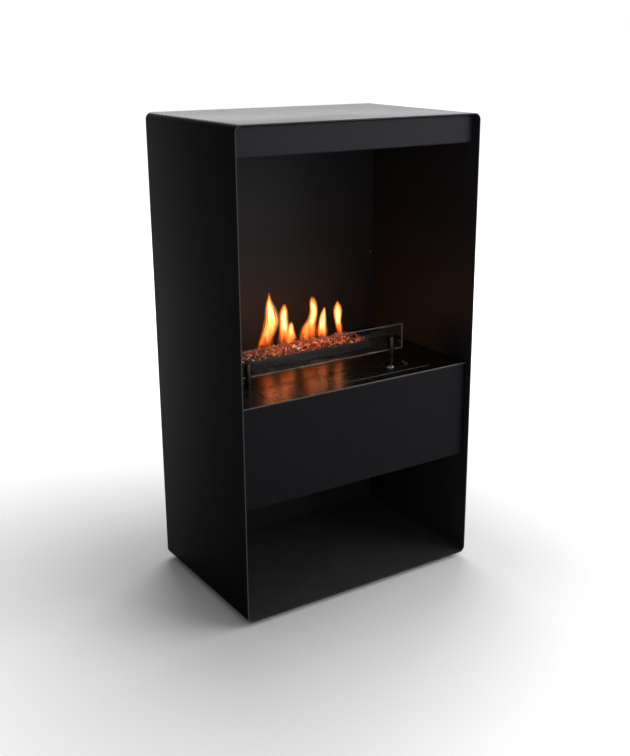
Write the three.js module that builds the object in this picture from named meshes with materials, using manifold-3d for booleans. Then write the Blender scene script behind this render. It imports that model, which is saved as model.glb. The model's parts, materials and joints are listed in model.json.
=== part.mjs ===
// A free-standing bioethanol fireplace: one wrapped steel sheet makes the cabinet, a header closes its
// top, and a box across the middle holds a drop-in burner under a glossy hearth. The space below the
// box is an open shelf. Millimetres, +Z up. The origin is on the floor under the middle of the cabinet,
// and the open front faces -Y.

import * as THREE from "three";
import { mergeVertices } from "three/addons/utils/BufferGeometryUtils.js";
import Module from "manifold-3d";

const wasm = await Module();
wasm.setup();

// ---------- Driving dimensions ----------

// Cabinet
const cabinetWidth = 600;
const cabinetDepth = 395;
const cabinetHeight = 1050; // from the floor
const floorGap = 10; // the shadow gap that the feet leave
const shellSheet = 3;
const cornerRadius = 15; // outside radius of the four bends
const rearLip = 12; // folded inwards all round the back
const backSheet = 3;
const gap = 0.3; // between pieces that touch

// Header and middle box
const panelSheet = 2;
const foldRadius = 1.5; // inside radius of the folds in the panels
const headerHeight = 64; // down from the top of the cabinet
const headerRecess = 17.5; // behind the cabinet's front edge
const headerTopFlange = 25;
const headerBottomFlange = 18;
const hearthLevel = 488; // top of the hearth, from the floor
const housingHeight = 226; // hearth level to the underside of the box
const housingRecess = 14.5; // behind the cabinet's front edge
const hearthSheet = 3;
const hearthCorner = 1;
const edgeSoftening = 0.6; // of the edges of the hearth and the burner plate
const supportFlange = 20;
const bracketEndGap = 4; // between the flanges of neighbouring brackets

// Opening for the burner, as distances in from the edges of the hearth
const plateFrontInset = 30;
const plateRearInset = 38;
const plateSideInset = 83;
const plateCorner = 2.5;
const seamGap = 0.8; // the seam round the drop-in plate
const ledgeOverlap = 5; // how far the ledge carries the plate
const ledgeOutside = 12; // how far the ledge runs under the hearth
const ledgeGap = 4;
const ledgeCorner = 4;

// Spill tray on the floor of the box
const trayClearance = 18; // how far the tray reaches beyond the tank, all round
const trayHeight = 22;
const traySheet = 1.5;
const trayCorner = 8;

// Fuel tank under the plate
const tankInset = 24; // in from the edges of the plate
const tankDepth = 65;
const tankWall = 1.5;
const tankCorner = 3;

// Fire bed: trough, slotted deck, shutter, stones and absorber
const burnerOffset = -10; // the fire bed and the glass sit left of the middle of the cabinet
const troughEndInset = 10.7; // left end of the trough, in from the edge of the plate
const troughRearInset = 31.2; // rear of the trough, in from the edge of the plate
const troughDepth = 84;
const troughHeight = 18;
const troughWall = 2;
const troughCorner = 3;
const deckEndRoom = 43; // from each end of the trough to the deck
const deckWidth = 26;
const deckHeight = 18;
const deckWall = 2;
const railWidth = 2;
const slotCount = 9;
const slotEndRoom = 14; // from each end of the deck to the middle of the nearest slot
const slotWidth = 12;
const slotOverlap = 1; // how far the shutter covers a closed slot, both ends together
const shutterSheet = 1.5;
const shutterFold = 0.5; // inside radius of the fold of the pull tab
const shutterReach = 12; // how far the pull tab stands out of the deck
const vapourSlotInset = 6; // in from the ends of the deck
const vapourSlotCorner = 4;
const absorberWidth = 50;
const absorberHeadroom = 8;
const absorberCorner = 3;

// Stone chips
const chipSize = 8; // middle radius
const chipFlattening = { y: 0.8, z: 0.6 };
const chipStretch = { least: 0.75, spread: 0.45 }; // of each corner of a chip
const chipTilt = 1.6; // radians, both ways together
const chipSpacing = 12;
const chipWander = 6; // off its place in the rows, both ways together
const chipSinking = 2.8; // of the middle of a chip, below the rim of the trough
const stoneCrown = 5; // how far the chips rise next to the deck
const stoneUnevenness = 2;

// Glass screen and its posts
const glassInset = 106.5; // middle of the glass, in from the front edge of the plate
const glassOverhang = 32.3; // beyond the middle of each post
const glassHeight = 60;
const glassThickness = 5;
const glassCorner = 2;
const glassBevel = 0.5;
const glassLift = 15; // hearth to the lower edge of the glass
const postDiameter = 14;
const postHeight = 46.5;
const postChamfer = 0.8;
const postInset = 12; // post centre, in from the left edge of the plate
const postSlotClearance = 0.4;
const spigotDiameter = 6;
const padLength = 10.5;
const padThickness = 1.5;

// Filler and level gauge, side by side in front of the glass
const serviceInset = 45; // their middles, in from the front edge of the plate
const serviceSpacing = 44; // between their middles
const gaugeInset = 38.7; // middle of the gauge, in from the right edge of the plate
const neckBore = 15;
const neckWall = 2;
const neckFlange = 28;
const neckFlangeThickness = 1.2;
const neckChamfer = 0.4;
const neckDrop = 22; // below the top of the plate
const capDiameter = 22;
const capHeight = 3;
const capChamfer = 0.8;
const sealThickness = 1;
const sealClearance = 1; // between the bore of the neck and the seal
const coinSlotLength = 14;
const coinSlotWidth = 2;
const coinSlotDepth = 1.2;
const gaugeFlange = 18;
const gaugeFlangeThickness = 2.5;
const gaugeChamfer = 0.6;
const gaugeBore = 9;
const gaugeSleeve = 12;
const gaugeDrop = 10; // of the sleeve, below the top of the plate
const lensDiameter = 13;
const lensThickness = 1.7;
const lensDome = 0.7; // how far the middle of the lens rises above its edge
const lensEdgeDrop = 0.6; // of the edge of the lens, below the top of the bush
const floatDiameter = 20;
const floatHeight = 14;
const floatChamfer = 1.5;
const floatTubeWall = 1.2;
const floatTubeSlots = 3;
const floatTubeSlotWidth = 4;
const floatTubeSlotHeadroom = 12; // of whole tube above the slots
const floatRunning = 0.4; // radial clearance of the float in its tube
const floatTravel = 38;
const rodDiameter = 4;
const rodHeadroom = 0.8; // under the lens when the tank is full

// Levelling feet
const footInset = 55; // in from the sides of the cabinet
const footDiameter = 30;
const footPadHeight = 3.2;
const footPadRounding = 1;
const footHeadDiameter = 14;
const footHeadHeight = 1.4;
const footStemDiameter = 8;
const footNutWidth = 13; // across flats
const footNutHeight = 6;

// Screws
const screwShank = 3.6;
const screwHead = 7;
const screwHeadHeight = 1.8;
const screwSocket = 2.6;
const screwSegments = 12;
const backScrewsPerSide = 4;
const backScrewEndInset = 50;
const floorScrewY = 110;

// ---------- Derived places ----------

const halfWidth = cabinetWidth / 2;
const frontY = -cabinetDepth / 2;
const rearY = cabinetDepth / 2;
const wallX = halfWidth - shellSheet; // inner face of a side wall
const fitX = wallX - gap; // half length of what fits between the walls
const backY = rearY - shellSheet - gap - backSheet; // front face of the back panel
const roofZ = cabinetHeight - shellSheet;
const shelfZ = floorGap + shellSheet;

const housingFrontY = frontY + housingRecess;
const housingBottomZ = hearthLevel - housingHeight;
const underHearthZ = hearthLevel - hearthSheet - gap; // top of what carries the hearth
const housingFloorZ = housingBottomZ + panelSheet + gap; // underside of the floor of the box
const housingFloorTopZ = housingFloorZ + panelSheet;
const housingFlange = plateFrontInset - ledgeOutside - ledgeGap;
const hearthRearY = backY - gap;

const plateHalfX = fitX - plateSideInset;
const plateFrontY = housingFrontY + plateFrontInset;
const plateRearY = backY - plateRearInset;
const plateUnderside = -hearthSheet; // below the hearth level

const tankHalfX = plateHalfX - tankInset;
const tankFrontY = plateFrontY + tankInset;
const tankRearY = plateRearY - tankInset;
const tankTop = plateUnderside - gap;
const tankBottom = tankTop - tankDepth;
const tankFloor = tankBottom + tankWall;

const burnerHalfX = plateHalfX + burnerOffset; // middle of the fire bed to the left edge of the plate
const troughCentreY = plateRearY - troughRearInset - troughDepth / 2;
const troughLength = 2 * (burnerHalfX - troughEndInset);
const deckLength = troughLength - 2 * deckEndRoom;
const slotPitch = (deckLength - 2 * slotEndRoom) / (slotCount - 1);
const slotLength = slotPitch / 2 - slotOverlap;
const shutterTravel = slotPitch / 2;
const vapourSlotLength = deckLength - 2 * vapourSlotInset;
const vapourSlotWidth = deckWidth - 2 * (deckWall + railWidth);

const glassY = plateFrontY + glassInset;
const postOffsetX = burnerHalfX - postInset; // each side of the middle of the glass
const glassLength = 2 * (postOffsetX + glassOverhang);
const serviceY = plateFrontY + serviceInset;
const gaugeX = plateHalfX - gaugeInset;
const fillerX = gaugeX - serviceSpacing;

const screwX = wallX - rearLip / 2;
const floorScrewX = fitX - supportFlange / 2;

// ---------- Finishes ----------

const satinBlack = new THREE.MeshStandardMaterial({ color: 0x1c1c1e, roughness: 0.5, metalness: 0.3 });
const glossBlack = new THREE.MeshStandardMaterial({ color: 0x0a0a0b, roughness: 0.08, metalness: 0.4 });
const plainSteel = new THREE.MeshStandardMaterial({ color: 0x9a9c9e, roughness: 0.35, metalness: 0.9 });
const brightSteel = new THREE.MeshStandardMaterial({ color: 0xc8cacc, roughness: 0.15, metalness: 1 });
const zincSteel = new THREE.MeshStandardMaterial({ color: 0xa8acb0, roughness: 0.4, metalness: 0.9 });
const clearGlass = new THREE.MeshStandardMaterial({
  color: 0xe8f2f0,
  roughness: 0.03,
  metalness: 0,
  transparent: true,
  opacity: 0.3,
});
const copperStone = new THREE.MeshStandardMaterial({ color: 0x8a4632, roughness: 0.3, metalness: 0.2 });
const whiteWool = new THREE.MeshStandardMaterial({ color: 0xe4e0d6, roughness: 0.95, metalness: 0 });
const blackRubber = new THREE.MeshStandardMaterial({ color: 0x141414, roughness: 0.9, metalness: 0 });
const blackPlastic = new THREE.MeshStandardMaterial({ color: 0x18181a, roughness: 0.6, metalness: 0 });
const redPlastic = new THREE.MeshStandardMaterial({ color: 0xb02018, roughness: 0.4, metalness: 0 });

// ---------- Joining and cutting ----------

function solidFrom(geometry) {
  const bare = geometry.clone();
  bare.deleteAttribute("normal");
  bare.deleteAttribute("uv");
  const merged = mergeVertices(bare, 1e-4);
  return new wasm.Manifold(
    new wasm.Mesh({
      numProp: 3,
      vertProperties: merged.attributes.position.array,
      triVerts: new Uint32Array(merged.index.array),
    }),
  );
}

function geometryFrom(solid) {
  const mesh = solid.getMesh();
  const geometry = new THREE.BufferGeometry();
  geometry.setAttribute("position", new THREE.BufferAttribute(mesh.vertProperties, 3));
  geometry.setIndex(new THREE.BufferAttribute(mesh.triVerts, 1));
  const faceted = geometry.toNonIndexed();
  faceted.computeVertexNormals();
  return faceted;
}

function cut(body, ...tools) {
  return geometryFrom(tools.reduce((left, tool) => left.subtract(solidFrom(tool)), solidFrom(body)));
}

function join(...pieces) {
  return geometryFrom(wasm.Manifold.union(pieces.map(solidFrom)));
}

// What of a piece lies inside a space.
function fitInside(piece, space) {
  return geometryFrom(solidFrom(piece).intersect(solidFrom(space)));
}

// ---------- Basic forms ----------

// A box between two corners.
function block(x0, x1, y0, y1, z0, z1) {
  const box = new THREE.BoxGeometry(x1 - x0, y1 - y0, z1 - z0);
  return box.translate((x0 + x1) / 2, (y0 + y1) / 2, (z0 + z1) / 2);
}

function extruded(shape, length, segments = 6) {
  return new THREE.ExtrudeGeometry(shape, { depth: length, bevelEnabled: false, curveSegments: segments });
}

// A shape drawn in X and Z, extruded along Y.
function extrudedAlongY(shape, y0, y1, segments) {
  return extruded(shape, y1 - y0, segments)
    .rotateX(Math.PI / 2)
    .translate(0, y1, 0);
}

// A shape drawn in Y and Z, extruded along X.
function extrudedAlongX(shape, x0, x1, segments) {
  const turn = new THREE.Matrix4().makeBasis(
    new THREE.Vector3(0, 1, 0),
    new THREE.Vector3(0, 0, 1),
    new THREE.Vector3(1, 0, 0),
  );
  return extruded(shape, x1 - x0, segments)
    .applyMatrix4(turn)
    .translate(x0, 0, 0);
}

// An upright cylinder between two heights.
function round(diameter, z0, z1, segments = 24) {
  const cylinder = new THREE.CylinderGeometry(diameter / 2, diameter / 2, z1 - z0, segments);
  return cylinder.rotateX(Math.PI / 2).translate(0, 0, (z0 + z1) / 2);
}

// A turned piece about Z, from [radius, height] points that run up its outside.
function turned(points, segments = 20) {
  const profile = points.map(([radius, height]) => new THREE.Vector2(radius, height));
  return new THREE.LatheGeometry(profile, segments).rotateX(Math.PI / 2);
}

function roundedRectangle(outline, x0, x1, y0, y1, radius) {
  outline.absarc(x1 - radius, y0 + radius, radius, -Math.PI / 2, 0);
  outline.absarc(x1 - radius, y1 - radius, radius, 0, Math.PI / 2);
  outline.absarc(x0 + radius, y1 - radius, radius, Math.PI / 2, Math.PI);
  outline.absarc(x0 + radius, y0 + radius, radius, Math.PI, Math.PI * 1.5);
  outline.closePath();
  return outline;
}

// A flat plate with softened edges and an opening through it.
function openPlate(outer, opening, thickness, softening) {
  const shape = new THREE.Shape();
  roundedRectangle(shape, outer.x0, outer.x1, outer.y0, outer.y1, outer.radius);
  shape.holes.push(
    roundedRectangle(new THREE.Path(), opening.x0, opening.x1, opening.y0, opening.y1, opening.radius),
  );
  const plate = new THREE.ExtrudeGeometry(shape, {
    depth: thickness - 2 * softening,
    bevelEnabled: softening > 0,
    bevelThickness: softening,
    bevelSize: softening,
    bevelOffset: -softening,
    bevelSegments: 1,
    curveSegments: 4,
  });
  return plate.translate(0, 0, softening);
}

// Corner points joined by straight lines, with each corner rounded. Every corner turns left.
function filleted(points, radius) {
  const path = new THREE.Path();
  path.moveTo(points[0].x, points[0].y);
  for (let i = 1; i < points.length - 1; i++) {
    const before = points[i].clone().sub(points[i - 1]).normalize();
    const after = points[i + 1].clone().sub(points[i]).normalize();
    const setback = radius * Math.tan(Math.acos(before.dot(after)) / 2);
    const start = points[i].clone().addScaledVector(before, -setback);
    const end = points[i].clone().addScaledVector(after, setback);
    const centre = start.clone().add(new THREE.Vector2(-before.y, before.x).multiplyScalar(radius));
    path.lineTo(start.x, start.y);
    path.absarc(
      centre.x,
      centre.y,
      radius,
      start.clone().sub(centre).angle(),
      end.clone().sub(centre).angle(),
    );
  }
  const last = points[points.length - 1];
  path.lineTo(last.x, last.y);
  return path.getPoints(3);
}

// The cross-section of a folded sheet. Its outer face follows the [a, b] points, which always turn
// left, and the sheet lies on the left of them.
function foldedSection(corners, sheet, insideRadius) {
  const outer = corners.map(([a, b]) => new THREE.Vector2(a, b));
  const inner = outer.map((corner, i) => {
    const before = corner.clone().sub(outer[Math.max(i - 1, 0)]);
    const after = outer[Math.min(i + 1, outer.length - 1)].clone().sub(corner);
    const sideways = [before, after]
      .filter((leg) => leg.length() > 0)
      .map((leg) => new THREE.Vector2(-leg.y, leg.x).normalize());
    const sum = sideways.reduce((total, side) => total.add(side), new THREE.Vector2());
    return corner.clone().addScaledVector(sum, (sheet * sideways.length) / sum.lengthSq());
  });
  const outline = [
    ...filleted(outer, insideRadius + sheet),
    ...filleted(inner, insideRadius).reverse(),
  ];
  return new THREE.Shape(outline);
}

// ---------- Cabinet ----------

const backScrewHeights = Array.from({ length: backScrewsPerSide }, (_, i) => {
  const lowest = shelfZ + backScrewEndInset;
  const highest = roofZ - backScrewEndInset;
  return lowest + ((highest - lowest) * i) / (backScrewsPerSide - 1);
});
const backScrewPlaces = [-screwX, screwX].flatMap((x) => backScrewHeights.map((z) => ({ x, z })));
const footPlaces = [
  { name: "front_left", x: -1, y: -1 },
  { name: "front_right", x: 1, y: -1 },
  { name: "rear_left", x: -1, y: 1 },
  { name: "rear_right", x: 1, y: 1 },
].map(({ name, x, y }) => ({
  name,
  x: x * (halfWidth - footInset),
  y: y * (rearY - footInset),
}));

// The outline of a countersunk screw, or of its hole with room all round, pointing up from its tip.
function countersunk(tip, top, room) {
  const shank = screwShank / 2 + room;
  const head = screwHead / 2 + room;
  return turned(
    [
      [0, tip],
      [shank, tip],
      [shank, top - screwHeadHeight],
      [head, top],
      [0, top],
    ],
    screwSegments,
  );
}

function makeOuterShell() {
  const wrap = new THREE.Shape();
  roundedRectangle(wrap, -halfWidth, halfWidth, floorGap, cabinetHeight, cornerRadius);
  const inside = roundedRectangle(
    new THREE.Path(),
    -wallX,
    wallX,
    shelfZ,
    roofZ,
    cornerRadius - shellSheet,
  );
  wrap.holes.push(inside);
  const lip = new THREE.Shape();
  roundedRectangle(lip, -halfWidth, halfWidth, floorGap, cabinetHeight, cornerRadius);
  lip.holes.push(
    roundedRectangle(
      new THREE.Path(),
      -wallX + rearLip,
      wallX - rearLip,
      shelfZ + rearLip,
      roofZ - rearLip,
      panelSheet,
    ),
  );
  const shell = join(
    extrudedAlongY(wrap, frontY, rearY, 5),
    extrudedAlongY(lip, rearY - shellSheet, rearY, 5),
  );
  const screwHoles = backScrewPlaces.map(({ x, z }) =>
    countersunk(-2 * shellSheet, gap, gap)
      .rotateX(-Math.PI / 2)
      .translate(x, rearY, z),
  );
  return cut(shell, ...screwHoles);
}

// The rounded outline of what fits inside the wrapped sheet.
function insideOutline() {
  const corner = cornerRadius - shellSheet - gap;
  return roundedRectangle(new THREE.Shape(), -fitX, fitX, shelfZ + gap, roofZ - gap, corner);
}

function makeBackPanel() {
  const holes = backScrewPlaces.map(({ x, z }) =>
    round(screwShank + 2 * gap, -backSheet, 2 * backSheet, screwSegments)
      .rotateX(-Math.PI / 2)
      .translate(x, backY, z),
  );
  return cut(extrudedAlongY(insideOutline(), backY, backY + backSheet, 5), ...holes);
}

// A countersunk screw with a square drive socket, standing on its tip at z = 0.
function makeScrew(length) {
  const half = screwSocket / 2;
  const socket = block(-half, half, -half, half, length - screwHeadHeight / 2, length + 1);
  return cut(countersunk(0, length, 0), socket);
}

function makeHeaderPanel() {
  const front = frontY + headerRecess;
  const bottom = cabinetHeight - headerHeight;
  const top = roofZ - gap;
  const section = foldedSection(
    [
      [front + headerTopFlange, top],
      [front, top],
      [front, bottom],
      [front + headerBottomFlange, bottom],
    ],
    panelSheet,
    foldRadius,
  );
  return fitInside(extrudedAlongX(section, -fitX, fitX), extrudedAlongY(insideOutline(), frontY, rearY, 5));
}

// ---------- Middle box ----------

function makeFrontPanel() {
  const section = foldedSection(
    [
      [housingFrontY + housingFlange, underHearthZ],
      [housingFrontY, underHearthZ],
      [housingFrontY, housingBottomZ],
      [housingFrontY + housingFlange, housingBottomZ],
    ],
    panelSheet,
    foldRadius,
  );
  return extrudedAlongX(section, -fitX, fitX);
}

function makeHearthPlate() {
  return openPlate(
    { x0: -fitX, x1: fitX, y0: housingFrontY, y1: hearthRearY, radius: hearthCorner },
    {
      x0: -plateHalfX - seamGap,
      x1: plateHalfX + seamGap,
      y0: plateFrontY - seamGap,
      y1: plateRearY + seamGap,
      radius: plateCorner + seamGap,
    },
    hearthSheet,
    edgeSoftening,
  ).translate(0, 0, hearthLevel - hearthSheet);
}

const floorScrewPlaces = [-floorScrewX, floorScrewX].flatMap((x) =>
  [-floorScrewY, floorScrewY].map((y) => ({ x, y })),
);

function floorScrewHoles() {
  const top = housingFloorTopZ + 4 * panelSheet;
  return floorScrewPlaces.map(({ x, y }) =>
    round(screwShank + 2 * gap, housingBottomZ, top, screwSegments).translate(x, y, 0),
  );
}

function makeHousingFloor() {
  const front = housingFrontY + panelSheet + foldRadius + gap;
  const sheet = block(-fitX, fitX, front, hearthRearY, housingFloorZ, housingFloorTopZ);
  return cut(sheet, ...floorScrewHoles());
}

// A low round-headed screw, pointing up, with its head's top at z = 0.
function makeFloorScrew() {
  const head = screwHead / 2;
  const shank = screwShank / 2;
  const dome = screwHeadHeight;
  const tip = 2 * panelSheet + 2 * gap;
  return turned(
    [
      [0, -dome],
      [head * 0.6, -dome],
      [head, -dome * 0.4],
      [head, 0],
      [shank, 0],
      [shank, tip],
      [0, tip],
    ],
    screwSegments,
  );
}

// A channel that stands on the floor of the box and carries the hearth, drawn across its length. The
// web is at 0 and the flanges point to the left of it.
function bracketSection(flange) {
  const bottom = housingFloorTopZ + gap;
  return foldedSection(
    [
      [-flange, underHearthZ],
      [0, underHearthZ],
      [0, bottom],
      [-flange, bottom],
    ].reverse(),
    panelSheet,
    foldRadius,
  );
}

function makeSideBracket(side) {
  const front = housingFrontY + housingFlange + bracketEndGap;
  const rear = hearthRearY - supportFlange - bracketEndGap;
  const channel = extrudedAlongY(bracketSection(supportFlange), front, rear);
  if (side < 0) channel.rotateZ(Math.PI).translate(0, front + rear, 0);
  const placed = channel.translate(side * fitX, 0, 0);
  return cut(placed, ...floorScrewHoles());
}

function makeRearBracket() {
  const reach = fitX - panelSheet - bracketEndGap;
  return extrudedAlongX(bracketSection(supportFlange), -reach, reach).translate(0, hearthRearY, 0);
}

function makeBurnerLedge() {
  const outside = seamGap + ledgeOutside;
  return openPlate(
    {
      x0: -plateHalfX - outside,
      x1: plateHalfX + outside,
      y0: plateFrontY - outside,
      y1: plateRearY + outside,
      radius: ledgeCorner,
    },
    {
      x0: -plateHalfX + ledgeOverlap,
      x1: plateHalfX - ledgeOverlap,
      y0: plateFrontY + ledgeOverlap,
      y1: plateRearY - ledgeOverlap,
      radius: ledgeCorner,
    },
    panelSheet,
    0,
  ).translate(0, 0, underHearthZ - panelSheet);
}

function makeSpillTray() {
  const x = tankHalfX + trayClearance;
  const y0 = tankFrontY - trayClearance;
  const y1 = tankRearY + trayClearance;
  const outer = new THREE.Shape();
  roundedRectangle(outer, -x, x, y0, y1, trayCorner);
  const inner = new THREE.Shape();
  roundedRectangle(
    inner,
    -x + traySheet,
    x - traySheet,
    y0 + traySheet,
    y1 - traySheet,
    trayCorner - traySheet,
  );
  return cut(
    extruded(outer, trayHeight, 4),
    extruded(inner, trayHeight, 4).translate(0, 0, traySheet),
  ).translate(0, 0, housingFloorTopZ + gap);
}

// ---------- Burner plate and tank (heights from the hearth level) ----------

function makeBurnerPlate() {
  const plate = openPlate(
    { x0: -plateHalfX, x1: plateHalfX, y0: plateFrontY, y1: plateRearY, radius: plateCorner },
    {
      x0: burnerOffset - vapourSlotLength / 2,
      x1: burnerOffset + vapourSlotLength / 2,
      y0: troughCentreY - vapourSlotWidth / 2,
      y1: troughCentreY + vapourSlotWidth / 2,
      radius: vapourSlotCorner,
    },
    hearthSheet,
    edgeSoftening,
  ).translate(0, 0, plateUnderside);
  const through = (diameter, x, y) =>
    round(diameter + 2 * gap, 2 * plateUnderside, hearthSheet, 20).translate(x, y, 0);
  return cut(
    plate,
    through(neckBore + 2 * neckWall, fillerX, serviceY),
    through(gaugeSleeve, gaugeX, serviceY),
    through(spigotDiameter, burnerOffset - postOffsetX, glassY),
    through(spigotDiameter, burnerOffset + postOffsetX, glassY),
  );
}

// The welded band round the tank.
function makeFuelTank() {
  const band = new THREE.Shape();
  roundedRectangle(band, -tankHalfX, tankHalfX, tankFrontY, tankRearY, tankCorner);
  band.holes.push(
    roundedRectangle(
      new THREE.Path(),
      -tankHalfX + tankWall,
      tankHalfX - tankWall,
      tankFrontY + tankWall,
      tankRearY - tankWall,
      tankCorner - tankWall,
    ),
  );
  return extruded(band, tankDepth, 2).translate(0, 0, tankBottom);
}

// The base plate that is welded into the band.
function makeTankBase() {
  const inset = tankWall + gap;
  const plate = new THREE.Shape();
  roundedRectangle(
    plate,
    -tankHalfX + inset,
    tankHalfX - inset,
    tankFrontY + inset,
    tankRearY - inset,
    tankCorner - tankWall,
  );
  return extruded(plate, tankWall, 2).translate(0, 0, tankBottom);
}

// ---------- Fire bed (from the middle of the trough, on the hearth) ----------

function makeTrough() {
  const x = troughLength / 2;
  const y = troughDepth / 2;
  const frame = new THREE.Shape();
  roundedRectangle(frame, -x, x, -y, y, troughCorner);
  frame.holes.push(
    roundedRectangle(
      new THREE.Path(),
      -x + troughWall,
      x - troughWall,
      -y + troughWall,
      y - troughWall,
      troughCorner - troughWall,
    ),
  );
  return extruded(frame, troughHeight, 3).translate(0, 0, gap);
}

const slotCentres = Array.from({ length: slotCount }, (_, i) => (i - (slotCount - 1) / 2) * slotPitch);
const deckTop = gap + deckHeight;
const shutterTop = deckTop - deckWall - gap;
const shutterBottom = shutterTop - shutterSheet;

function flameSlots() {
  return slotCentres.map((x) =>
    block(
      x - slotLength / 2,
      x + slotLength / 2,
      -slotWidth / 2,
      slotWidth / 2,
      shutterBottom - 1,
      deckTop + 1,
    ),
  );
}

// An upturned channel with a rail inside each leg. The shutter slides between the rails and the top.
function makeFlameDeck() {
  const out = deckWidth / 2;
  const leg = out - deckWall;
  const rail = leg - railWidth;
  const roof = deckTop - deckWall;
  const railTop = shutterBottom - gap;
  const railBottom = railTop - railWidth;
  const half = [
    [out, gap],
    [out, deckTop],
  ];
  const halfInside = [
    [leg, roof],
    [leg, railTop],
    [rail, railTop],
    [rail, railBottom],
    [leg, railBottom],
    [leg, gap],
  ];
  const mirrored = (points) => points.map(([y, z]) => [-y, z]).reverse();
  const outline = [...half, ...mirrored(half), ...mirrored(halfInside), ...halfInside];
  const section = new THREE.Shape(outline.map(([y, z]) => new THREE.Vector2(y, z)));
  const end = deckLength / 2;
  const channel = join(
    extrudedAlongX(section, -end, end),
    block(-end, -end + deckWall, -out, out, gap, deckTop),
    block(end - deckWall, end, -out, out, gap, railTop),
  );
  return cut(channel, ...flameSlots());
}

function makeShutter() {
  const width = deckWidth / 2 - deckWall - gap;
  const left = -deckLength / 2 + deckWall + gap;
  const right = deckLength / 2 + shutterReach;
  const section = foldedSection(
    [
      [left, shutterBottom],
      [right, shutterBottom],
      [right, troughHeight],
    ],
    shutterSheet,
    shutterFold,
  );
  const tab = extrudedAlongY(section, -width, width);
  return cut(tab, ...flameSlots());
}

// Numbers between 0 and 1 that come out the same each time.
function repeatable(seed) {
  let state = seed;
  return () => {
    state = (state * 1664525 + 1013904223) % 4294967296;
    return state / 4294967296;
  };
}

// One angular stone chip: a squashed octahedron with its corners pushed about.
function stoneChip(random) {
  const chip = new THREE.OctahedronGeometry(chipSize, 0);
  chip.deleteAttribute("normal");
  chip.deleteAttribute("uv");
  const merged = mergeVertices(chip);
  const corners = merged.attributes.position;
  for (let i = 0; i < corners.count; i++) {
    const stretch = chipStretch.least + chipStretch.spread * random();
    corners.setXYZ(i, corners.getX(i) * stretch, corners.getY(i) * stretch, corners.getZ(i) * stretch);
  }
  merged.scale(1, chipFlattening.y, chipFlattening.z);
  merged.rotateX((random() - 0.5) * chipTilt);
  merged.rotateY((random() - 0.5) * chipTilt);
  merged.rotateZ(random() * Math.PI * 2);
  return merged;
}

// The stones fill the trough round the deck, and rise a little towards it.
function makeStoneBed() {
  const random = repeatable(7);
  const endX = troughLength / 2 - troughWall - gap;
  const endY = troughDepth / 2 - troughWall - gap;
  const deckY = deckWidth / 2 + gap;
  const deckLeft = -deckLength / 2 - gap;
  const tabRight = deckLength / 2 + shutterReach + shutterTravel + 2 * gap;
  const bottom = 2 * gap;
  const coreTop = troughHeight - chipSinking;
  const highest = coreTop + 4 * chipSize;
  const chips = [];
  const columns = Math.floor((2 * endX) / chipSpacing);
  const rows = Math.floor((2 * endY) / chipSpacing);
  for (let column = 0; column < columns; column++) {
    for (let row = 0; row < rows; row++) {
      const x = -endX + ((column + 0.5) * 2 * endX) / columns + (random() - 0.5) * chipWander;
      const y = -endY + ((row + 0.5) * 2 * endY) / rows + (random() - 0.5) * chipWander;
      const rise = stoneCrown * (1 - Math.abs(y) / endY) + (random() - 0.5) * stoneUnevenness;
      chips.push(stoneChip(random).translate(x, y, coreTop + rise));
    }
  }
  const core = block(-endX, endX, -endY, endY, bottom, coreTop + 1);
  const space = block(-endX, endX, -endY, endY, bottom, highest);
  const deckSpace = block(deckLeft, tabRight, -deckY, deckY, -1, highest + 1);
  const heap = wasm.Manifold.union([core, ...chips].map(solidFrom));
  const trimmed = heap.intersect(solidFrom(space)).subtract(solidFrom(deckSpace));
  const [bed] = trimmed.decompose().sort((a, b) => b.volume() - a.volume()); // without loose splinters
  return geometryFrom(bed);
}

function makeAbsorber() {
  const x = vapourSlotLength / 2;
  const y = absorberWidth / 2;
  const bottom = tankFloor + gap;
  const top = plateUnderside - absorberHeadroom;
  const shape = new THREE.Shape();
  roundedRectangle(shape, -x, x, -y, y, absorberCorner);
  return extruded(shape, top - bottom, 3).translate(0, 0, bottom);
}

// ---------- Glass screen (from the middle of the glass, on the hearth) ----------

const postTop = gap + postHeight;
const padBottom = glassLift - gap - padThickness;
const slotFloor = padBottom - gap;

// A round post, slotted from its top for the glass, with a spigot that sits in the plate.
function makeGlassPost() {
  const radius = postDiameter / 2;
  const body = turned([
    [0, plateUnderside + gap],
    [spigotDiameter / 2, plateUnderside + gap],
    [spigotDiameter / 2, gap],
    [radius, gap],
    [radius, postTop - postChamfer],
    [radius - postChamfer, postTop],
    [0, postTop],
  ]);
  const slotHalf = glassThickness / 2 + postSlotClearance;
  return cut(body, block(-radius - 1, radius + 1, -slotHalf, slotHalf, slotFloor, postTop + 1));
}

function makeGlassPad() {
  const x = padLength / 2;
  const y = glassThickness / 2;
  return block(-x, x, -y, y, padBottom, padBottom + padThickness);
}

function makeGlassPane() {
  const outline = new THREE.Shape();
  const x = glassLength / 2;
  roundedRectangle(outline, -x, x, glassLift, glassLift + glassHeight, glassCorner);
  const pane = new THREE.ExtrudeGeometry(outline, {
    depth: glassThickness - 2 * glassBevel,
    bevelThickness: glassBevel,
    bevelSize: glassBevel,
    bevelOffset: -glassBevel,
    bevelSegments: 1,
    curveSegments: 3,
  });
  return pane.rotateX(Math.PI / 2).translate(0, glassThickness / 2 - glassBevel, 0);
}

// ---------- Filler (from its own middle, on the hearth) ----------

const neckTop = gap + neckFlangeThickness;
const sealTop = neckTop + gap + sealThickness;
const capBottom = sealTop + gap;

function makeFillerNeck() {
  const bore = neckBore / 2;
  return turned([
    [bore, -neckDrop],
    [bore + neckWall, -neckDrop],
    [bore + neckWall, gap],
    [neckFlange / 2, gap],
    [neckFlange / 2, neckTop - neckChamfer],
    [neckFlange / 2 - neckChamfer, neckTop],
    [bore, neckTop],
    [bore, -neckDrop],
  ]);
}

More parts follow.
